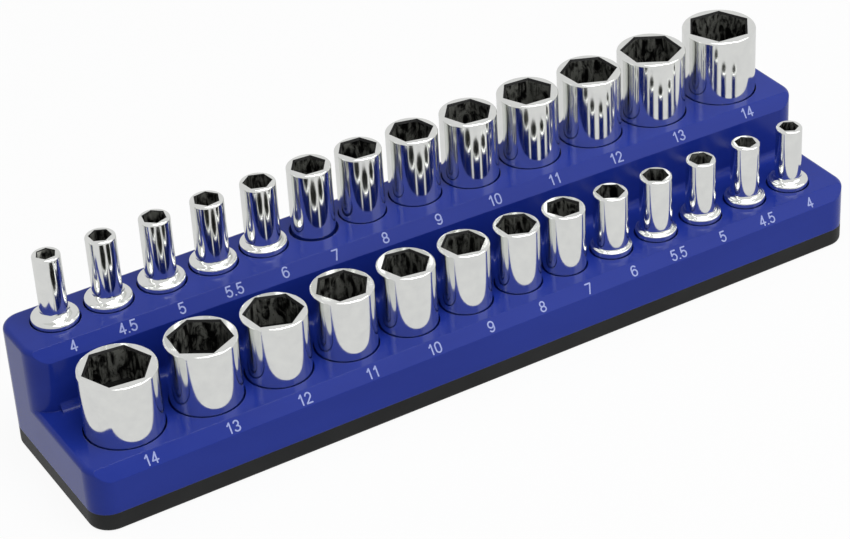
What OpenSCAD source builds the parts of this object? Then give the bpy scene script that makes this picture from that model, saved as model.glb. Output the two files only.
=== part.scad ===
// Two-tier magnetic socket tray with twenty-six lift-off quarter-inch-drive sockets.
// Units are millimetres. Origin at the middle of the underside, X along the tray,
// Y from the low front tier to the high rear tier, Z up.

/* [Overall] */
// Length of the tray along the rows
tray_length = 222; // [217:0.5:300]
// Depth of the tray from front to back
tray_depth = 50; // [49:0.5:80]
// Height of the front tier above the bench
front_height = 17.4; // [16.4:0.1:24]
// Height of the rear tier above the bench
rear_height = 34.5; // [28:0.25:40]
// Radius of the upright corners
corner_radius = 5.8; // [4:0.1:8]
// How much further back the rear tier starts at its left end than at its right
step_skew = 6; // [0:0.1:7]

/* [Tray shell] */
// Thickness of the outer walls
wall = 2.4; // [1.8:0.1:3]
// Thickness of the two top plates
plate = 2.6; // [2.2:0.1:3.4]
// Wall of the tube round each pocket
tube_wall = 1.1; // [0.8:0.1:1.6]
// Rounding of the top edges
edge_round = 1.3; // [0.5:0.1:1.3]
// Radius of the hollow corner where the tiers meet
step_fillet = 2.4; // [1:0.1:3]
// Depth of the sloped size strip along each front edge
strip_run = 2.6; // [1.5:0.1:3.2]
// Drop of the sloped size strip
strip_drop = 3.3; // [2:0.1:4]

/* [Pockets] */
// Gap round a socket in its pocket, on the radius
pocket_gap = 0.3; // [0.2:0.05:0.5]
// Depth of the front pockets
front_pocket_depth = 7.9; // [6:0.1:10]
// Flat left between the size strip and the largest front pocket
front_land = 1.95; // [1:0.05:4]
// Plastic behind the largest pocket of either row
rear_land = 1.4; // [1.35:0.05:2.5]
// Distance kept between the largest front pocket and the rear tier
step_land = 3.9; // [3:0.1:4.8]
// Plastic left at each end of the front row
front_end_land = 5.9; // [5:0.1:8]
// Plastic left at each end of the rear row
rear_end_land = 5.3; // [5:0.1:8]
// How far a front socket moves forward for each millimetre it is smaller in radius
front_setback = 0.64; // [0:0.02:0.7]
// How far a rear socket moves back for each millimetre it is smaller in radius
rear_setback = 0.46; // [0:0.02:0.5]

/* [Sockets] */
// Length of the deep sockets
deep_length = 50; // [44:0.5:60]
// Length of the shallow sockets
shallow_length = 25; // [22:0.5:32]
// Smallest diameter of the drive end of a deep socket
deep_drive_end = 12; // [11.4:0.1:12.4]
// Smallest diameter of the drive end of a shallow socket
shallow_drive_end = 10.8; // [10.6:0.1:12]
// Drive square across its flats
drive_square = 6.35; // [6.3:0.01:6.5]
// Depth of the drive square from the lower end
drive_depth = 9; // [7:0.5:10]
// Free play across the flats of the hexagons
hex_play = 0.12; // [0.05:0.01:0.3]
// How far the drive end of a small socket stands above the tray
collar_stand = 1.65; // [1:0.05:2.5]
// Share of the shoulder above a drive end that is rounded over, the rest being a hollow foot
shoulder_share = 0.35; // [0.2:0.05:0.6]
// Width of the funnel round the mouth of a hexagon
lead_width = 0.5; // [0.3:0.05:0.55]
// Width of the funnel round the mouth of a hexagon in a small socket
small_lead_width = 0.2; // [0.1:0.05:0.3]

/* [Base] */
// Thickness of the black base
base_thickness = 5; // [4.6:0.1:6]
// Rounding of the lower edge of the base
base_round = 1; // [0.5:0.1:1.5]
// Height of the floor under the deep sockets, which stand in wells of the base
well_floor = 3; // [2.6:0.1:4]
// Gap between a post of the base and its pocket, on the radius
post_gap = 0.2; // [0.1:0.05:0.4]
// Diameter of the magnets under the sockets
magnet_diameter = 9; // [8:0.5:9.5]
// Thickness of the magnets under the sockets
magnet_thickness = 1.6; // [1:0.1:1.8]
// Diameter of the mounting magnets in the underside
mount_magnet_diameter = 18; // [12:1:20]
// Thickness of the mounting magnets
mount_magnet_thickness = 2.4; // [1.5:0.1:3]
// How far the mounting magnets lie in front of the middle
mount_magnet_setback = 4; // [3:0.5:8]
// Gap round every magnet, on the radius
magnet_gap = 0.1; // [0.05:0.05:0.2]

/* [Screws] */
// Diameter of the screw shank
screw_diameter = 2.6; // [2.2:0.1:3]
// Length of the shank below the head
screw_length = 8.5; // [6:0.5:9]
// Diameter of the screw head
screw_head = 5; // [4.4:0.1:5.4]
// Height of the screw head
screw_head_height = 1.7; // [1.4:0.1:2]
// Gap round the shank and the head, on the radius
screw_gap = 0.15; // [0.1:0.05:0.3]

/* [Hidden] */
$fn = 64;
eps = 0.01;

// Size, nose diameter, spare length after it, turn of the shallow and the deep hexagon
sockets = [
    [14, 19.6, 2.9, 53, 54],
    [13, 18.1, 2.1, 26, 28],
    [12, 16.7, 2.5, 38, 35],
    [11, 16, 2.35, 57, 55],
    [10, 14.9, 2.3, 50, 52],
    [9, 13.4, 2.65, 45, 45],
    [8, 12, 2, 35, 55],
    [7, 11.3, 1.95, 57, 55],
    [6, 9.1, 1.95, 28, 38],
    [5.5, 8.5, 2.1, 22, 8],
    [5, 7.9, 2.3, 40, 18],
    [4.5, 7.6, 2.1, 15, 33],
    [4, 7, 0.9, 28, 5]
];
count = len(sockets);
largest = 0;
smallest = count - 1;

// The sockets below this size have a nose that is narrower than their drive end
smallest_plain_size = 7;
function is_small(i) = sockets[i][0] < smallest_plain_size;

// Widest diameter of a socket, which its pocket must take
function widest(i, deep) = max(sockets[i][1], deep ? deep_drive_end : shallow_drive_end);
function pocket_radius(i, deep) = widest(i, deep) / 2 + pocket_gap;

// Both rows are spaced for the deep sockets, and the spare length is shared out between them
function widest_sum(i) = i < 0 ? 0 : widest(i, true) + widest_sum(i - 1);
function share_sum(i) = i < 0 ? 0 : sockets[i][2] + share_sum(i - 1);
function share_scale(end_land) =
    (tray_length - widest_sum(smallest) - 2 * end_land) / share_sum(smallest);

// Distance of a pocket from the end of the tray where its row is largest
function row_station(i, end_land) = end_land + widest_sum(i - 1) + widest(i, true) / 2
    + share_scale(end_land) * share_sum(i - 1);
function front_x(i) = row_station(i, front_end_land) - tray_length / 2;
function rear_x(i) = tray_length / 2 - row_station(i, rear_end_land);

front_edge = -tray_depth / 2;
rear_edge = tray_depth / 2;
front_row = front_edge + strip_run + front_land + pocket_radius(largest, false);
rear_row = rear_edge - rear_land - pocket_radius(largest, true);
function smaller_by(i) = (sockets[largest][1] - sockets[i][1]) / 2;
function front_y(i) = front_row - front_setback * smaller_by(i);
function rear_y(i) = rear_row + rear_setback * smaller_by(i);
function place(i, deep) = deep ? [rear_x(i), rear_y(i)] : [front_x(i), front_y(i)];

// The front of the rear tier runs askew, past the largest front pocket
step_turn = -atan(step_skew / tray_length);
step_middle = front_row + pocket_radius(largest, false) + step_land
    + step_skew / tray_length * front_x(largest);
function step_y(x) = step_middle - step_skew / tray_length * x;

// Axes of the upright corners, anticlockwise from the front left
corner_x = tray_length / 2 - corner_radius;
function corners(front_left, front_right) = [
    [-corner_x, front_left],
    [corner_x, front_right],
    [corner_x, rear_edge - corner_radius],
    [-corner_x, rear_edge - corner_radius]
];
step_inset = corner_radius / cos(step_turn);
// The wall of the step lies this far inside its round corners, so that the two cross cleanly
step_relief = 0.03;
whole_corners = corners(front_edge + corner_radius, front_edge + corner_radius);
rear_corners = corners(step_y(-corner_x) + step_inset, step_y(corner_x) + step_inset);

post_height = front_height - front_pocket_depth - base_thickness;
rear_pocket_depth = rear_height - well_floor;

// A post screw boss lies between the two end pockets of each row, close to the outer wall
boss_radius = 2.5;
boss_inset_front = 4.4;
boss_inset_rear = 3.4;
function beside(i, deep) = (place(i, deep)[0] + place(i + 1, deep)[0]) / 2
    + (pocket_radius(i, deep) - pocket_radius(i + 1, deep)) / (deep ? -2 : 2);
function boss_places() = [
    [beside(largest, false), front_edge + boss_inset_front],
    [beside(smallest - 1, false), front_edge + boss_inset_front],
    [beside(largest, true), rear_edge - boss_inset_rear],
    [beside(smallest - 1, true), rear_edge - boss_inset_rear]
];
screw_sink = 0.3;
screw_seat = screw_head_height + screw_sink;

mount_magnets = 4;
mount_pitch = tray_length / mount_magnets;
function mount_x(i) = (i - (mount_magnets - 1) / 2) * mount_pitch;

// Half section of an upright corner, and section of the wall between two corners
module edge_profile(radius, height, round) {
    square([radius, height - round]);
    square([radius - round, height]);
    translate([radius - round, height - round])
        circle(round);
}

// Extrudes a section drawn outward from the line between a corner and the next
module wall_after(corners, i) {
    run = corners[(i + 1) % len(corners)] - corners[i];
    translate([corners[i][0], corners[i][1], 0])
        rotate([0, 0, atan2(run[1], run[0])])
            rotate([90, 0, 90])
                linear_extrude(norm(run))
                    mirror([1, 0])
                        children();
}

// Block with round upright corners and rounded top edges, its walls from the given one on
module rounded_block(corners, height, radius, round, first_wall = 0) {
    linear_extrude(height)
        polygon(corners);
    for (corner = corners)
        translate([corner[0], corner[1], 0])
            rotate_extrude()
                edge_profile(radius, height, round);
    for (i = [first_wall : len(corners) - 1])
        wall_after(corners, i)
            edge_profile(radius, height, round);
}

// Wedge that cuts the sloped size strip, with the front edge along X at the origin
module strip_wedge() {
    slope = strip_drop / strip_run;
    translate([-tray_length, 0, 0])
        rotate([90, 0, 90])
            linear_extrude(2 * tray_length)
                polygon([
                    [-1, -strip_drop - slope],
                    [strip_run, 0],
                    [strip_run + 1, slope],
                    [-1, slope]
                ]);
}

module strip_cuts() {
    translate([0, front_edge, front_height])
        strip_wedge();
    translate([0, step_middle, rear_height])
        rotate([0, 0, step_turn])
            strip_wedge();
}

// Section of the step between the tiers, with the hollow corner at its foot
module step_section() {
    face = corner_radius - step_relief;
    foot = front_height - base_thickness;
    translate([-1, 0])
        square([face + 1, rear_height - base_thickness]);
    difference() {
        translate([face - 1, foot - 1])
            square([step_fillet + 1, step_fillet + 1]);
        translate([face + step_fillet, foot + step_fillet])
            circle(step_fillet);
    }
}

module tray_outside() {
    translate([0, 0, base_thickness]) {
        rounded_block(whole_corners, front_height - base_thickness, corner_radius, edge_round);
        rounded_block(rear_corners, rear_height - base_thickness, corner_radius, edge_round, 1);
        wall_after(rear_corners, 0)
            step_section();
    }
}

// Plan of the inside of the tray
module hollow_plan() {
    inner = corner_radius - wall;
    half_length = tray_length / 2 - wall;
    half_depth = tray_depth / 2 - wall;
    square(2 * [half_length - inner, half_depth], center = true);
    square(2 * [half_length, half_depth - inner], center = true);
    for (x = [inner - half_length, half_length - inner], y = [inner - half_depth, half_depth - inner])
        translate([x, y])
            circle(inner);
}

// Part of that plan that lies behind the wall of the step
module rear_hollow_plan() {
    intersection() {
        hollow_plan();
        polygon([
            [-tray_length, step_y(-tray_length) + wall],
            [tray_length, step_y(tray_length) + wall],
            [tray_length, tray_depth],
            [-tray_length, tray_depth]
        ]);
    }
}

// Inside of a tier, from its plan up to its top plate
module tier_hollow(top) {
    translate([0, 0, base_thickness - 1])
        linear_extrude(top - plate - base_thickness + 1)
            children();
}

// Round columns at the pockets of one row, larger than the pockets by grow
module row_columns(deep, grow, low, high) {
    for (i = [0 : count - 1])
        translate([place(i, deep)[0], place(i, deep)[1], low])
            cylinder(r = pocket_radius(i, deep) + grow, h = high - low);
}

module tray_bosses(radius, low, high) {
    for (at = boss_places())
        translate([at[0], at[1], low])
            cylinder(r = radius, h = high - low);
}

module tray() {
    color("royalblue")
        difference() {
            tray_outside();
            difference() {
                union() {
                    tier_hollow(front_height)
                        hollow_plan();
                    tier_hollow(rear_height)
                        rear_hollow_plan();
                }
                row_columns(false, tube_wall, 0, front_height);
                row_columns(true, tube_wall, 0, rear_height);
                tray_bosses(boss_radius, 0, front_height);
            }
            strip_cuts();
            row_columns(false, 0, 0, front_height + step_fillet + 1);
            row_columns(true, 0, 0, rear_height + 1);
            tray_bosses(screw_diameter / 2 + screw_gap, 0, base_thickness + screw_length);
        }
}

module base_block() {
    translate([0, 0, base_thickness])
        mirror([0, 0, 1])
            rounded_block(whole_corners, base_thickness, corner_radius, base_round);
}

module base() {
    magnet_bore = magnet_diameter / 2 + magnet_gap;
    color("black")
        difference() {
            union() {
                base_block();
                row_columns(false, -post_gap, base_thickness - 1, base_thickness + post_height);
            }
            row_columns(true, 0, well_floor, base_thickness + 1);
            for (i = [0 : count - 1]) {
                translate([front_x(i), front_y(i), base_thickness + post_height - magnet_thickness])
                    cylinder(r = magnet_bore, h = magnet_thickness + 1);
                translate([rear_x(i), rear_y(i), well_floor - magnet_thickness])
                    cylinder(r = magnet_bore, h = magnet_thickness + 1);
            }
            for (i = [0 : mount_magnets - 1])
                translate([mount_x(i), -mount_magnet_setback, -1])
                    cylinder(r = mount_magnet_diameter / 2 + magnet_gap,
                        h = mount_magnet_thickness + 1);
            for (at = boss_places())
                translate([at[0], at[1], -1]) {
                    cylinder(r = screw_diameter / 2 + screw_gap, h = base_thickness + 2);
                    cylinder(r = screw_head / 2 + screw_gap, h = screw_seat + 1);
                }
        }
}

module disc_magnet(diameter, thickness) {
    bevel = 0.2;
    cylinder(r1 = diameter / 2 - bevel, r2 = diameter / 2, h = bevel);
    translate([0, 0, bevel])
        cylinder(r = diameter / 2, h = thickness - 2 * bevel);
    translate([0, 0, thickness - bevel])
        cylinder(r1 = diameter / 2, r2 = diameter / 2 - bevel, h = bevel);
}

module front_row_magnets() {
    color("silver")
        for (i = [0 : count - 1])
            translate([front_x(i), front_y(i), base_thickness + post_height - magnet_thickness])
                disc_magnet(magnet_diameter, magnet_thickness);
}

module rear_row_magnets() {
    color("silver")
        for (i = [0 : count - 1])
            translate([rear_x(i), rear_y(i), well_floor - magnet_thickness])
                disc_magnet(magnet_diameter, magnet_thickness);
}

module base_mount_magnets() {
    color("silver")
        for (i = [0 : mount_magnets - 1])
            translate([mount_x(i), -mount_magnet_setback, 0])
                disc_magnet(mount_magnet_diameter, mount_magnet_thickness);
}

// Pan-head screw with a cross recess, driven upward from the underside
module base_screw() {
    recess_depth = 1;
    recess_width = 0.7;
    recess_length = 2.6;
    tip = 1;
    difference() {
        cylinder(r = screw_head / 2, h = screw_head_height);
        for (turn = [0, 90])
            rotate([0, 0, turn])
                translate([-recess_length / 2, -recess_width / 2, -1])
                    cube([recess_length, recess_width, recess_depth + 1]);
    }
    translate([0, 0, screw_head_height - eps])
        cylinder(r = screw_diameter / 2, h = screw_length - tip + eps);
    translate([0, 0, screw_head_height + screw_length - tip])
        cylinder(r1 = screw_diameter / 2, r2 = screw_diameter / 4, h = tip);
}

module base_screws() {
    color("silver")
        for (at = boss_places())
            translate([at[0], at[1], screw_sink])
                base_screw();
}

// Turned details of a socket
end_chamfer = 0.5;
rim_round = 0.6;
groove_depth = 0.35;
groove_heights = [3.6, 5.2];
bore_step = 1.2;
small_bore_step = 0.4;
detent_radius = 1.4;
detent_depth = 0.5;

// A shallow socket of this size or more is open right through, and its bore is stepped down more
smallest_through_size = 10;

// Depth of a hexagon, a fixed part and a part that grows with its size
function hex_depth(size, deep) = deep ? 6 + 0.9 * size : 2 + 0.5 * size;

// Half section of a socket, its lower drive end at the origin
module socket_profile(nose, body, collar, length) {
    shoulder = body - nose;
    over = shoulder_share * shoulder;
    foot = shoulder - over;
    difference() {
        union() {
            polygon([[0, 0], [body - end_chamfer, 0], [body, end_chamfer],
                [body, collar - over], [0, collar - over]]);
            square([nose - rim_round, length]);
            square([nose, length - rim_round]);
            translate([nose - rim_round, length - rim_round])
                circle(rim_round);
            if (shoulder > 0) {
                square([body - over, collar]);
                translate([body - over, collar - over])
                    circle(over);
                difference() {
                    translate([nose - 1, collar - 1])
                        square([foot + 1, foot + 1]);
                    translate([nose + foot, collar + foot])
                        circle(foot);
                }
            }
        }
        for (ring = groove_heights)
            polygon([[body - groove_depth, ring], [body + 1, ring - groove_depth - 1],
                [body + 1, ring + groove_depth + 1]]);
    }
}

// Hexagonal funnel at the mouth of a hexagon, which three tapered bars share
module hex_funnel(flats, lead) {
    half = flats / 2;
    intersection_for (side = [0, 60, 120])
        rotate([0, 0, side])
            translate([-flats, 0, 0])
                rotate([90, 0, 90])
                    linear_extrude(2 * flats)
                        polygon([[1 - half, -1], [half - 1, -1], [half + lead + eps, lead + eps],
                            [-half - lead - eps, lead + eps]]);
}

module detents() {
    reach = drive_square + 2 * detent_depth;
    for (side = [0, 90])
        rotate([0, 0, side])
            translate([-reach / 2, 0, drive_depth / 2])
                rotate([0, 90, 0])
                    cylinder(r = detent_radius, h = reach);
}

module socket(i, deep) {
    size = sockets[i][0];
    nose = sockets[i][1] / 2;
    body = widest(i, deep) / 2;
    length = deep ? deep_length : shallow_length;
    pocket = deep ? rear_pocket_depth : front_pocket_depth;
    collar = pocket + (is_small(i) ? collar_stand : -collar_stand);
    flats = size + hex_play;
    mouth = length - hex_depth(size, deep);
    lead = is_small(i) ? small_lead_width : lead_width;
    wide = size >= smallest_through_size;
    through = wide && !deep;
    square_top = through ? mouth : drive_depth;
    bore = flats - (wide ? bore_step : small_bore_step);
    difference() {
        rotate_extrude()
            socket_profile(nose, body, collar, length);
        rotate([0, 0, sockets[i][deep ? 4 : 3]]) {
            translate([0, 0, mouth])
                cylinder(r = flats / 2 / cos(30), h = length - mouth + 1, $fn = 6);
            translate([0, 0, length - lead])
                hex_funnel(flats, lead);
            translate([-drive_square / 2, -drive_square / 2, -1])
                cube([drive_square, drive_square, square_top + 1]);
            if (!is_small(i))
                detents();
        }
        if (!through)
            translate([0, 0, square_top - eps])
                cylinder(r = bore / 2, h = mouth - square_top + 2 * eps);
    }
}

module shallow_socket(i) {
    color("gainsboro")
        translate([front_x(i), front_y(i), base_thickness + post_height])
            socket(i, false);
}

module deep_socket(i) {
    color("gainsboro")
        translate([rear_x(i), rear_y(i), well_floor])
            socket(i, true);
}

tray();
base();
front_row_magnets();
rear_row_magnets();
base_mount_magnets();
base_screws();
shallow_socket(0);  // shallow_14mm
shallow_socket(1);  // shallow_13mm
shallow_socket(2);  // shallow_12mm
shallow_socket(3);  // shallow_11mm
shallow_socket(4);  // shallow_10mm
shallow_socket(5);  // shallow_9mm
shallow_socket(6);  // shallow_8mm
shallow_socket(7);  // shallow_7mm
shallow_socket(8);  // shallow_6mm
shallow_socket(9);  // shallow_5_5mm
shallow_socket(10);  // shallow_5mm
shallow_socket(11);  // shallow_4_5mm
shallow_socket(12);  // shallow_4mm
deep_socket(0);  // deep_14mm
deep_socket(1);  // deep_13mm
deep_socket(2);  // deep_12mm
deep_socket(3);  // deep_11mm
deep_socket(4);  // deep_10mm
deep_socket(5);  // deep_9mm
deep_socket(6);  // deep_8mm
deep_socket(7);  // deep_7mm
deep_socket(8);  // deep_6mm
deep_socket(9);  // deep_5_5mm
deep_socket(10);  // deep_5mm
deep_socket(11);  // deep_4_5mm
deep_socket(12);  // deep_4mm
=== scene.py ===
"""Studio picture of a two-tier magnetic tray with twenty-six sockets."""

import math

import bpy
from mathutils import Matrix, Vector


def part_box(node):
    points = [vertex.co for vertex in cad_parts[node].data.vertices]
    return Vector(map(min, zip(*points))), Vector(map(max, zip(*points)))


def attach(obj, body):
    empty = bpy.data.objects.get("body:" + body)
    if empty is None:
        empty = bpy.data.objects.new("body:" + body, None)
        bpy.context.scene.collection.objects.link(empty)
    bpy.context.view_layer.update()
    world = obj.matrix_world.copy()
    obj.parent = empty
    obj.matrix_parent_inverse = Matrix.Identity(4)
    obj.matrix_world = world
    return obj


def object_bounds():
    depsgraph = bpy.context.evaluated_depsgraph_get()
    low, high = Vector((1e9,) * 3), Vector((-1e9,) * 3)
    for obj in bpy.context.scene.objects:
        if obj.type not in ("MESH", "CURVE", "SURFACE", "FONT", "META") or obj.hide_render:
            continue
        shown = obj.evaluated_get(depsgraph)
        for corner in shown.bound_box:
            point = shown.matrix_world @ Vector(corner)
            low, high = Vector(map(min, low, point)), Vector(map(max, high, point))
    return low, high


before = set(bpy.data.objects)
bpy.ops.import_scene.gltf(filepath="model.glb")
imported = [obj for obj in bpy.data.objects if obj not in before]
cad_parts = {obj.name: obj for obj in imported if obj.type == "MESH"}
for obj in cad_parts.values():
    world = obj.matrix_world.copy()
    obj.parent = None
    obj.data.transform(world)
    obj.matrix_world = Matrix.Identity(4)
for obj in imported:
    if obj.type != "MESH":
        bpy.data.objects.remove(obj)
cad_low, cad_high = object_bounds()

# ---------------------------------------------------------------- sizes, in metres
MM = 0.001

# Camera: a long lens in front of the low tier, to the left and above
CAMERA_PLACE = (-0.278628, -0.487936, 0.385906)
CAMERA_TURN = (56.8655, 2.9531, -31.1581)  # Euler XYZ, degrees
CAMERA_LENS = 111.786  # millimetres
CAMERA_SENSOR = 36.0  # millimetres
CAMERA_NEAR = 50 * MM
CAMERA_FAR = 50.0

# Size strips: where a ray along +Y meets the slope, below the top of each tier
FRONT_TIER_TOP = 17.4 * MM
STRIP_MIDDLE_DROP = 1.65 * MM
REAR_MARK_SHIFT = (-0.6 * MM, 0.25 * MM)  # along the tray, and up the slope
FRONT_MARK_SHIFT = (0.1 * MM, -0.15 * MM)
RAY_LEAD = 50 * MM  # how far in front of the tray the ray starts

# Printed numerals
DIGIT_HEIGHT = 2.9 * MM
STROKE_WIDTH = 0.37 * MM
DIGIT_GAP = 0.72 * MM
DIGIT_WIDTH = 1.45 * MM
INK_THICKNESS = 0.03 * MM
INK_LIFT = 0.012 * MM
STROKE_STEP = 0.003 * MM  # each stroke lies this much over the last, so none share a plane
CAP_STEPS = 4
CAP_TURN = 80  # degrees of the quarter turn that a stroke's round end takes
ARC_STEP = 15  # degrees
LEAST_ARC_STEPS = 6
CLOSED_WITHIN = 1e-6 * MM  # a stroke whose ends lie this near is a loop

# Faces of a socket, told apart by where they look and lie
TURNED_IN = -0.02  # a face that looks this much towards the axis is the wall of a bore
LEVEL_FACE = 0.97  # least rise of a level face's normal
UPRIGHT_FACE = 0.3  # most rise or fall of an upright face's normal
RIM_START = 0.95  # share of the height above which a level face is the rim
FLOOR_REACH = 0.5  # distance from the axis of a bore's floors, in widths of the socket
SLIM_FLOOR_REACH = 0.27
SLIM_BELOW = 7.0  # a smaller socket has a nose narrower than its drive end

BEVEL_SAMPLES = 6  # of the shading that softens edges

# Studio
FLOOR_SIZE = 12.0
FLOOR_DROP = 0.2 * MM
FLOOR_GREY = 0.8
FLOOR_WHITE_SHARE = 0.93  # how far plain white covers the floor's own shading
MIRRORED_WHITE = 0.74  # brightness of floor and backdrop in a mirror, where 1 is white
SOFT_WORLD = 0.45  # strength of the backdrop as a light
LAMP_AIM = (0.0, 0.0, 20 * MM)
LAMPS = (  # name, place, width in metres, power in watts
    ("key", (0.08, -0.3, 0.98), 0.7, 5.8),
    ("fill", (0.7, -0.7, 0.6), 0.9, 2.6),
)


# ---------------------------------------------------------------- helpers
def add_object(name, data):
    """A new object with the given data, linked into the scene."""
    piece = bpy.data.objects.new(name, data)
    bpy.context.scene.collection.objects.link(piece)
    return piece


class Shader:
    """A material with a Principled shader, and short calls that add nodes to it."""

    def __init__(self, name):
        self.material = bpy.data.materials.new(name)
        self.material.use_nodes = True
        self.nodes = self.material.node_tree.nodes
        self.links = self.material.node_tree.links
        self.surface = self.nodes["Principled BSDF"]
        self.place = self.nodes.new("ShaderNodeTexCoord").outputs["Object"]

    def join(self, source, target):
        self.links.new(source, target)

    def fill(self, socket, value):
        """Gives an input another node's output, or a plain value."""
        if isinstance(value, bpy.types.NodeSocket):
            self.join(value, socket)
        else:
            socket.default_value = value

    def set(self, **values):
        """Plain values for the Principled shader's own inputs."""
        for name, value in values.items():
            self.surface.inputs[name.replace("_", " ")].default_value = value

    def feed(self, name, source):
        """An output for one of the Principled shader's inputs."""
        self.join(source, self.surface.inputs[name])

    def noise(self, scale, detail=2.0, roughness=0.5, vector=None, distortion=0.0):
        """Noise between 0 and 1, its scale in swells to the metre."""
        node = self.nodes.new("ShaderNodeTexNoise")
        node.inputs["Scale"].default_value = scale
        node.inputs["Detail"].default_value = detail
        node.inputs["Roughness"].default_value = roughness
        node.inputs["Distortion"].default_value = distortion
        self.join(vector or self.place, node.inputs["Vector"])
        return node.outputs["Fac"]

    def stretched(self, scale):
        """Object coordinates scaled along each axis: noise runs long where the scale is low."""
        node = self.nodes.new("ShaderNodeMapping")
        node.inputs["Scale"].default_value = scale
        self.join(self.place, node.inputs["Vector"])
        return node.outputs["Vector"]

    def ranged(self, source, low, high, to_low=0.0, to_high=1.0, smooth=False):
        """The source from low to high, spread over the new range and held at its ends."""
        node = self.nodes.new("ShaderNodeMapRange")
        node.interpolation_type = "SMOOTHSTEP" if smooth else "LINEAR"
        ends = {"From Min": low, "From Max": high, "To Min": to_low, "To Max": to_high}
        for name, value in ends.items():
            node.inputs[name].default_value = value
        self.join(source, node.inputs["Value"])
        return node.outputs["Result"]

    def math(self, operation, first, second=None, kind="ShaderNodeMath", result="Value"):
        node = self.nodes.new(kind)
        node.operation = operation
        for socket, value in zip(node.inputs, (first, second)):
            if value is not None:
                self.fill(socket, value)
        return node.outputs[result]

    def vector_math(self, operation, first, second=None, result="Vector"):
        return self.math(operation, first, second, "ShaderNodeVectorMath", result)

    def height_of(self, vector):
        """The Z of a vector output."""
        node = self.nodes.new("ShaderNodeSeparateXYZ")
        self.join(vector, node.inputs["Vector"])
        return node.outputs["Z"]

    def blend(self, factor, first, second):
        """The first colour where the factor is 0, the second where it is 1."""
        node = self.nodes.new("ShaderNodeMix")
        node.data_type = "RGBA"
        self.join(factor, node.inputs["Factor"])
        for name, value in (("A", first), ("B", second)):
            self.fill(next(s for s in node.inputs if s.name == name and s.type == "RGBA"), value)
        return next(s for s in node.outputs if s.type == "RGBA")

    def bump(self, height, distance, strength=1.0, normal=None):
        """A normal that follows the height, on top of the given one."""
        node = self.nodes.new("ShaderNodeBump")
        node.inputs["Strength"].default_value = strength
        node.inputs["Distance"].default_value = distance
        self.join(height, node.inputs["Height"])
        if normal is not None:
            self.join(normal, node.inputs["Normal"])
        return node.outputs["Normal"]

    def soft_edges(self, radius):
        """A normal that rounds the edges."""
        node = self.nodes.new("ShaderNodeBevel")
        node.samples = BEVEL_SAMPLES
        node.inputs["Radius"].default_value = radius
        return node.outputs["Normal"]


def rgb(red, green, blue):
    """Linear colour of an sRGB colour given in 0 to 255."""
    def linear(value):
        share = value / 255
        return share / 12.92 if share <= 0.04045 else ((share + 0.055) / 1.055) ** 2.4
    return (linear(red), linear(green), linear(blue), 1.0)


# ---------------------------------------------------------------- materials
def tray_plastic():
    """Glossy moulded blue plastic: faint flow mottle, fine grain, rubbed gloss."""
    s = Shader("tray_plastic")
    flow = s.noise(45, 4.0, 0.55, s.stretched((0.35, 1.0, 1.6)), 0.4)
    grain = s.noise(2600, 3.0, 0.6)
    wear = s.noise(130, 5.0, 0.6)
    s.feed("Base Color", s.blend(s.ranged(flow, 0.3, 0.7), rgb(26, 45, 136), rgb(31, 51, 145)))
    rubbed = s.ranged(wear, 0.35, 0.75, 0.12, 0.2)
    s.feed("Roughness", s.math("ADD", rubbed, s.ranged(grain, 0.3, 0.7, 0.0, 0.03)))
    s.set(IOR=1.5, Specular_IOR_Level=0.2)
    s.feed("Normal", s.bump(grain, 0.012 * MM, 0.35, s.soft_edges(0.35 * MM)))
    return s.material


def base_plastic():
    """Satin black plastic with a fine spark-eroded grain."""
    s = Shader("base_plastic")
    grain = s.noise(3200, 3.0, 0.65)
    patches = s.noise(90, 4.0, 0.6)
    s.feed("Base Color", s.blend(s.ranged(patches, 0.35, 0.7), rgb(20, 21, 21), rgb(29, 30, 30)))
    s.feed("Roughness", s.ranged(grain, 0.3, 0.7, 0.42, 0.58))
    s.set(Specular_IOR_Level=0.25)
    s.feed("Normal", s.bump(grain, 0.03 * MM, 0.6, s.soft_edges(0.5 * MM)))
    return s.material


def bore_mask(s, floor_reach):
    """1 on the walls and floors inside a socket, 0 on its outside and rim; and 1 on upright faces.

    floor_reach is how far from the axis a level face still counts as inside,
    where 0.5 is the widest part of the socket.
    """
    box_place = s.nodes.new("ShaderNodeTexCoord").outputs["Generated"]
    facing = s.nodes.new("ShaderNodeNewGeometry").outputs["True Normal"]
    rise = s.height_of(facing)
    from_middle = s.vector_math("SUBTRACT", box_place, (0.5, 0.5, 0.0))
    from_axis = s.vector_math("MULTIPLY", from_middle, (1.0, 1.0, 0.0))
    reach = s.vector_math("LENGTH", from_axis, result="Value")
    outward = s.vector_math("DOT_PRODUCT", from_axis, facing, "Value")
    inward = s.math("LESS_THAN", outward, TURNED_IN)
    level = s.math("GREATER_THAN", rise, LEVEL_FACE)
    below_rim = s.math("LESS_THAN", s.height_of(box_place), RIM_START)
    near_axis = s.math("LESS_THAN", reach, floor_reach)
    floor = s.math("MULTIPLY", s.math("MULTIPLY", level, below_rim), near_axis)
    upright = s.math("LESS_THAN", s.math("ABSOLUTE", rise), UPRIGHT_FACE)
    return s.math("MAXIMUM", inward, floor), upright


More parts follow.
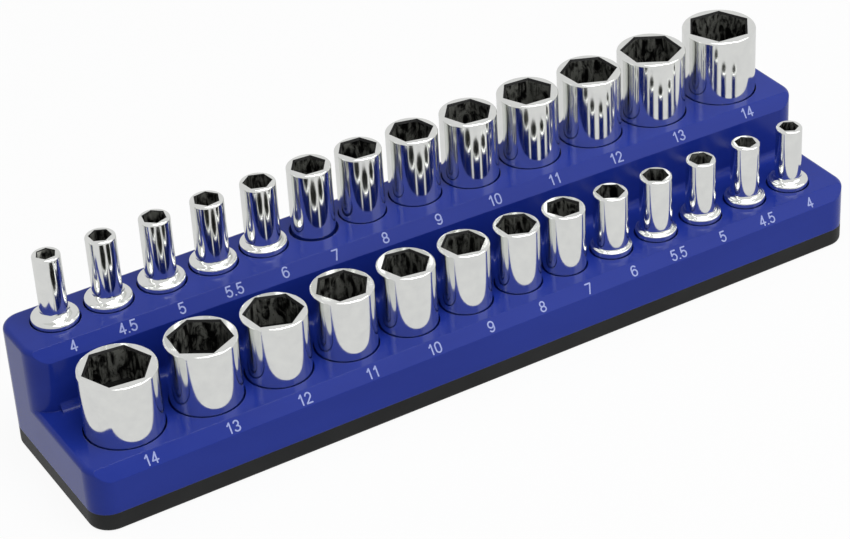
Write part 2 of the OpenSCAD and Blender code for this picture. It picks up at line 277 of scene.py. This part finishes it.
def socket_finish(name, floor_reach):
    """Mirror chrome outside; inside, a dark oiled finish, mottled and streaked, partly painted shade:
    its black patches and black floors stand for the shade deep in the bore.
    """
    s = Shader(name)
    inside, upright = bore_mask(s, floor_reach)
    haze = s.noise(300, 3.0, 0.6)
    polish = s.noise(900, 2.0, 0.5, s.stretched((0.15, 0.15, 3.0)))
    bright = s.blend(s.ranged(haze, 0.3, 0.7), rgb(240, 241, 238), rgb(233, 234, 232))

    scale = s.noise(1500, 4.0, 0.7)
    patches = s.noise(430, 3.0, 0.55, s.stretched((1.0, 1.0, 0.5)), 1.2)
    streaks = s.noise(1300, 2.0, 0.5, s.stretched((1.0, 1.0, 0.1)))
    mottle = s.math("ADD", s.math("MULTIPLY", patches, 0.7), s.math("MULTIPLY", streaks, 0.3))
    # Painted shade: the low parts of the mottle, and every inside face that is not upright, such as
    # the floors, get the near-black colour for the shade deep in the bore.
    light_patches_amid_painted_shade = s.math("MULTIPLY", s.ranged(mottle, 0.42, 0.6, smooth=True), upright)
    dark = s.blend(light_patches_amid_painted_shade, rgb(9, 9, 9), rgb(146, 147, 140))

    s.feed("Base Color", s.blend(inside, bright, dark))
    s.feed("Metallic", s.ranged(inside, 0.0, 1.0, 1.0, 0.5))
    hazed = s.ranged(haze, 0.35, 0.75, 0.08, 0.12)
    outer_gloss = s.math("ADD", hazed, s.ranged(polish, 0.4, 0.7, 0.0, 0.02))
    scaled = s.ranged(scale, 0.3, 0.7, 0.52, 0.72)
    inner_gloss = s.math("SUBTRACT", scaled, s.math("MULTIPLY", upright, 0.3))
    outer_share = s.math("MULTIPLY", outer_gloss, s.math("SUBTRACT", 1.0, inside))
    inner_share = s.math("MULTIPLY", inner_gloss, inside)
    s.feed("Roughness", s.math("ADD", outer_share, inner_share))
    relief = s.math("ADD", s.math("MULTIPLY", polish, 0.006), s.math("MULTIPLY", scale, inside))
    s.feed("Normal", s.bump(relief, 0.06 * MM, 0.5))
    return s.material


def socket_chrome():
    """The finish for a socket that is one width all the way."""
    return socket_finish("socket_chrome", FLOOR_REACH)


def slim_socket_chrome():
    """The same finish for a socket whose drive end is wider than its nose."""
    return socket_finish("slim_socket_chrome", SLIM_FLOOR_REACH)


def magnet_nickel():
    """Nickel-plated magnet: warm grey metal with light scuffs."""
    s = Shader("magnet_nickel")
    scuff = s.noise(700, 5.0, 0.65)
    s.feed("Base Color", s.blend(s.ranged(scuff, 0.35, 0.7), rgb(186, 183, 176), rgb(160, 157, 150)))
    s.set(Metallic=1.0)
    s.feed("Roughness", s.ranged(scuff, 0.3, 0.7, 0.2, 0.38))
    s.feed("Normal", s.bump(scuff, 0.01 * MM, 0.4, s.soft_edges(0.1 * MM)))
    return s.material


def screw_steel():
    """Dark phosphated screw steel with a fine crystalline grain."""
    s = Shader("screw_steel")
    grain = s.noise(2200, 4.0, 0.7)
    s.feed("Base Color", s.blend(s.ranged(grain, 0.35, 0.7), rgb(74, 74, 78), rgb(104, 104, 108)))
    s.set(Metallic=1.0)
    s.feed("Roughness", s.ranged(grain, 0.3, 0.7, 0.3, 0.5))
    s.feed("Normal", s.bump(grain, 0.01 * MM, 0.5, s.soft_edges(0.1 * MM)))
    return s.material


def digit_ink():
    """Pale lavender pad-printed ink, a little thin in places."""
    s = Shader("digit_ink")
    thin = s.noise(1800, 3.0, 0.6)
    s.feed("Base Color", s.blend(s.ranged(thin, 0.3, 0.75), rgb(166, 176, 222), rgb(138, 149, 206)))
    s.feed("Roughness", s.ranged(thin, 0.3, 0.7, 0.38, 0.5))
    s.feed("Normal", s.bump(thin, 0.004 * MM, 0.4))
    return s.material


def finish_cad_nodes():
    """Puts a finish on each slot of each node of the part."""
    node_finish = {
        "tray": tray_plastic(),
        "base": base_plastic(),
        "base_screws": screw_steel(),
    }
    plated = magnet_nickel()
    for name in ("front_row_magnets", "rear_row_magnets", "base_mount_magnets"):
        node_finish[name] = plated
    straight, slim = socket_chrome(), slim_socket_chrome()
    for name in socket_names():
        node_finish[name] = slim if float(size_of(name)) < SLIM_BELOW else straight
    for name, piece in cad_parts.items():
        for holder in piece.material_slots:
            holder.material = node_finish[name]


# ---------------------------------------------------------------- printed sizes
def socket_names():
    """The nodes of the part that are sockets."""
    return [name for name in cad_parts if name.startswith(("shallow_", "deep_"))]


def size_of(node):
    """The size in a socket's node name, such as 5.5 for shallow_5_5mm."""
    return node.split("_", 1)[1].removesuffix("mm").replace("_", ".")


def arc(x, y, x_radius, y_radius, start, end):
    """Points of an arc, its angles in degrees, on a cell 1 high and 1 wide."""
    steps = max(LEAST_ARC_STEPS, round(abs(end - start) / ARC_STEP))
    angles = [math.radians(start + (end - start) * i / steps) for i in range(steps + 1)]
    return [(x + x_radius * math.cos(angle), y + y_radius * math.sin(angle)) for angle in angles]


def half_turn(strokes):
    """The same strokes, turned upside down in their cell."""
    return [[(1.0 - x, 1.0 - y) for x, y in stroke] for stroke in strokes]


# Strokes of each numeral, as points in a cell 1 wide and 1 high
SIX = [arc(0.5, 0.31, 0.5, 0.31, 0, 360), arc(0.52, 0.66, 0.52, 0.34, 40, 180) + [(0.0, 0.31)]]
NUMERALS = {
    "0": [arc(0.5, 0.68, 0.5, 0.32, 0, 180) + arc(0.5, 0.32, 0.5, 0.32, 180, 360) + [(1.0, 0.68)]],
    "1": [[(0.2, 0.76), (0.6, 1.0)], [(0.6, 1.0), (0.6, 0.0)]],
    "2": [
        arc(0.5, 0.71, 0.47, 0.29, 165, -35),
        [(0.885, 0.544), (0.02, 0.0)],
        [(0.02, 0.0), (1.0, 0.0)],
    ],
    "3": [arc(0.48, 0.75, 0.42, 0.25, 155, -90), arc(0.48, 0.25, 0.5, 0.25, 90, -155)],
    "4": [[(0.72, 1.0), (0.0, 0.27)], [(0.0, 0.27), (1.05, 0.27)], [(0.72, 1.0), (0.72, 0.0)]],
    "5": [
        [(0.92, 1.0), (0.16, 1.0)],
        [(0.16, 1.0), (0.07, 0.5)],
        arc(0.48, 0.32, 0.5, 0.32, 146, -150),
    ],
    "6": SIX,
    "7": [[(0.0, 1.0), (1.0, 1.0)], [(1.0, 1.0), (0.36, 0.0)]],
    "8": [arc(0.5, 0.745, 0.42, 0.255, 0, 360), arc(0.5, 0.25, 0.5, 0.25, 0, 360)],
    "9": half_turn(SIX),
    ".": [[(0.0, 0.0), (0.06, 0.0)]],
}
NARROW = {"1": 0.8, ".": 0.06}  # share of DIGIT_WIDTH that the others fill


def stroke_sections(points):
    """The (place, side, half width) along a stroke, and whether it is a loop.

    A stroke that isn't a loop gets round ends.
    """
    looped = (points[0] - points[-1]).length < CLOSED_WITHIN
    half = STROKE_WIDTH / 2
    ring = points[:-1] if looped else points
    sections = []
    for i, point in enumerate(ring):
        before = ring[i - 1] if looped or i else point
        after = ring[(i + 1) % len(ring)] if looped or i + 1 < len(ring) else point
        along = (after - before).normalized()
        sections.append((point, Vector((-along.y, along.x)), half))
    if looped:
        return sections, True

    def cap(section, outward):
        place, side, _ = section
        angles = [math.radians(CAP_TURN) * step / CAP_STEPS for step in range(1, CAP_STEPS + 1)]
        return [(place + outward * half * math.sin(a), side, half * math.cos(a)) for a in angles]

    first_out = (points[0] - points[1]).normalized()
    last_out = (points[-1] - points[-2]).normalized()
    return cap(sections[0], first_out)[::-1] + sections + cap(sections[-1], last_out), False


def add_stroke(vertices, faces, points, bottom):
    """A thin flat plate along one stroke of a numeral, closed all round."""
    sections, looped = stroke_sections(points)
    start = len(vertices)
    for place, side, half in sections:
        for edge, level in ((half, 1), (-half, 1), (-half, 0), (half, 0)):
            spot = place + side * edge
            vertices.append((spot.x, spot.y, bottom + level * INK_THICKNESS))
    count = len(sections)
    for i in range(count if looped else count - 1):
        here, there = start + 4 * i, start + 4 * ((i + 1) % count)
        for k in range(4):
            faces.append((here + k, here + (k + 1) % 4, there + (k + 1) % 4, there + k))
    if not looped:
        last = start + 4 * (count - 1)
        faces.append((start + 3, start + 2, start + 1, start))
        faces.append((last, last + 1, last + 2, last + 3))


def number_mesh(name, words):
    """Printed numerals as tall as DIGIT_HEIGHT, centred on the origin."""
    widths = [NARROW.get(letter, 1.0) * DIGIT_WIDTH for letter in words]
    left = -(sum(widths) + DIGIT_GAP * (len(words) - 1)) / 2
    tall = DIGIT_HEIGHT - STROKE_WIDTH
    vertices, faces = [], []
    bottom = INK_LIFT
    for letter, width in zip(words, widths):
        for stroke in NUMERALS[letter]:
            points = [Vector((left + x * DIGIT_WIDTH, (y - 0.5) * tall)) for x, y in stroke]
            add_stroke(vertices, faces, points, bottom)
            bottom += STROKE_STEP
        left += width + DIGIT_GAP
    mesh = bpy.data.meshes.new(name)
    mesh.from_pydata(vertices, [], faces)
    mesh.validate()
    return mesh


def surface_point(x, height):
    """Where a level ray from the front meets the tray, and the surface's normal there."""
    start = Vector((x, cad_low.y - RAY_LEAD, height))
    hit, place, normal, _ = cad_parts["tray"].ray_cast(start, Vector((0.0, 1.0, 0.0)))
    if not hit:
        raise ValueError(f"no tray surface at x {x}, height {height}")
    return place, normal


def print_sizes():
    """A number on the size strip before each socket, level with the strip's edge."""
    ink = digit_ink()
    for node in socket_names():
        in_front = node.startswith("shallow_")
        low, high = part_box(node)
        shift, rise = FRONT_MARK_SHIFT if in_front else REAR_MARK_SHIFT
        tier_top = FRONT_TIER_TOP if in_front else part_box("tray")[1].z
        place, normal = surface_point((low.x + high.x) / 2 + shift, tier_top - STRIP_MIDDLE_DROP)
        across = Vector((0.0, 0.0, 1.0)).cross(normal).normalized()
        up = normal.cross(across)
        name = "size_mark_" + node
        mark = add_object(name, number_mesh(name, size_of(node)))
        turn = Matrix((across, up, normal)).transposed().to_4x4()
        mark.matrix_world = Matrix.Translation(place + up * rise) @ turn
        mark.data.materials.append(ink)
        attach(mark, "tray_body")


# ---------------------------------------------------------------- studio
def white_seen(nodes, links):
    """Two outputs: white's brightness, lower in a mirror, and 1 for camera and mirror rays."""
    path = nodes.new("ShaderNodeLightPath")
    mirrored = nodes.new("ShaderNodeMath")
    mirrored.operation = "MAXIMUM"
    links.new(path.outputs["Is Glossy Ray"], mirrored.inputs[0])
    links.new(path.outputs["Is Transmission Ray"], mirrored.inputs[1])
    brightness = nodes.new("ShaderNodeMapRange")
    brightness.inputs["To Min"].default_value = 1.0
    brightness.inputs["To Max"].default_value = MIRRORED_WHITE
    links.new(mirrored.outputs["Value"], brightness.inputs["Value"])
    seen = nodes.new("ShaderNodeMath")
    seen.operation = "MAXIMUM"
    links.new(path.outputs["Is Camera Ray"], seen.inputs[0])
    links.new(mirrored.outputs["Value"], seen.inputs[1])
    return brightness.outputs["Result"], seen.outputs["Value"]


def mix_shaders(nodes, links, share, first, second, output_kind):
    """The first shader, covered by the second as far as the share says."""
    mix = nodes.new("ShaderNodeMixShader")
    links.new(share, mix.inputs["Fac"])
    links.new(first, mix.inputs[1])
    links.new(second, mix.inputs[2])
    output = nodes.new(output_kind)
    links.new(mix.outputs["Shader"], output.inputs["Surface"])


def make_world():
    """Backdrop that is white to look at and softer as a light."""
    world = bpy.data.worlds.new("studio")
    bpy.context.scene.world = world
    world.use_nodes = True
    nodes, links = world.node_tree.nodes, world.node_tree.links
    nodes.clear()
    soft = nodes.new("ShaderNodeBackground")
    soft.inputs["Color"].default_value = (0.97, 0.985, 1.0, 1.0)
    soft.inputs["Strength"].default_value = SOFT_WORLD
    white = nodes.new("ShaderNodeBackground")
    white.inputs["Color"].default_value = (1.0, 1.0, 1.0, 1.0)
    brightness, seen = white_seen(nodes, links)
    links.new(brightness, white.inputs["Strength"])
    mix_shaders(nodes, links, seen, soft.outputs["Background"], white.outputs["Background"],
                "ShaderNodeOutputWorld")


def make_floor():
    """Pale floor that looks white and still takes the object's shadow."""
    half = FLOOR_SIZE / 2
    level = cad_low.z - FLOOR_DROP
    mesh = bpy.data.meshes.new("floor")
    corners = [(x * half, y * half, level) for x, y in ((-1, -1), (1, -1), (1, 1), (-1, 1))]
    mesh.from_pydata(corners, [], [(0, 1, 2, 3)])
    floor = add_object("floor", mesh)

    material = bpy.data.materials.new("floor")
    material.use_nodes = True
    nodes, links = material.node_tree.nodes, material.node_tree.links
    nodes.clear()
    matt = nodes.new("ShaderNodeBsdfDiffuse")
    matt.inputs["Color"].default_value = (FLOOR_GREY, FLOOR_GREY, FLOOR_GREY, 1.0)
    brightness, seen = white_seen(nodes, links)
    glow = nodes.new("ShaderNodeEmission")
    links.new(brightness, glow.inputs["Strength"])
    amount = nodes.new("ShaderNodeMath")
    amount.operation = "MULTIPLY"
    amount.inputs[1].default_value = FLOOR_WHITE_SHARE
    links.new(seen, amount.inputs[0])
    mix_shaders(nodes, links, amount.outputs["Value"], matt.outputs["BSDF"], glow.outputs["Emission"],
                "ShaderNodeOutputMaterial")
    mesh.materials.append(material)


def make_softbox(name, place, size, power):
    """Square area lamp that faces the object's middle."""
    data = bpy.data.lights.new(name, "AREA")
    data.shape = "SQUARE"
    data.size = size
    data.energy = power
    lamp = add_object(name, data)
    aim = Vector(LAMP_AIM) - Vector(place)
    lamp.location = place
    lamp.rotation_euler = aim.to_track_quat("-Z", "Y").to_euler()


def make_camera():
    """The photograph's view of the tray."""
    data = bpy.data.cameras.new("camera")
    data.lens = CAMERA_LENS
    data.sensor_width = CAMERA_SENSOR
    data.sensor_fit = "HORIZONTAL"
    data.clip_start = CAMERA_NEAR
    data.clip_end = CAMERA_FAR
    camera = add_object("camera", data)
    camera.location = CAMERA_PLACE
    camera.rotation_euler = [math.radians(angle) for angle in CAMERA_TURN]
    bpy.context.scene.camera = camera


make_camera()
finish_cad_nodes()
print_sizes()
make_world()
make_floor()
for lamp in LAMPS:
    make_softbox(*lamp)
bpy.context.scene.view_settings.view_transform = "Standard"
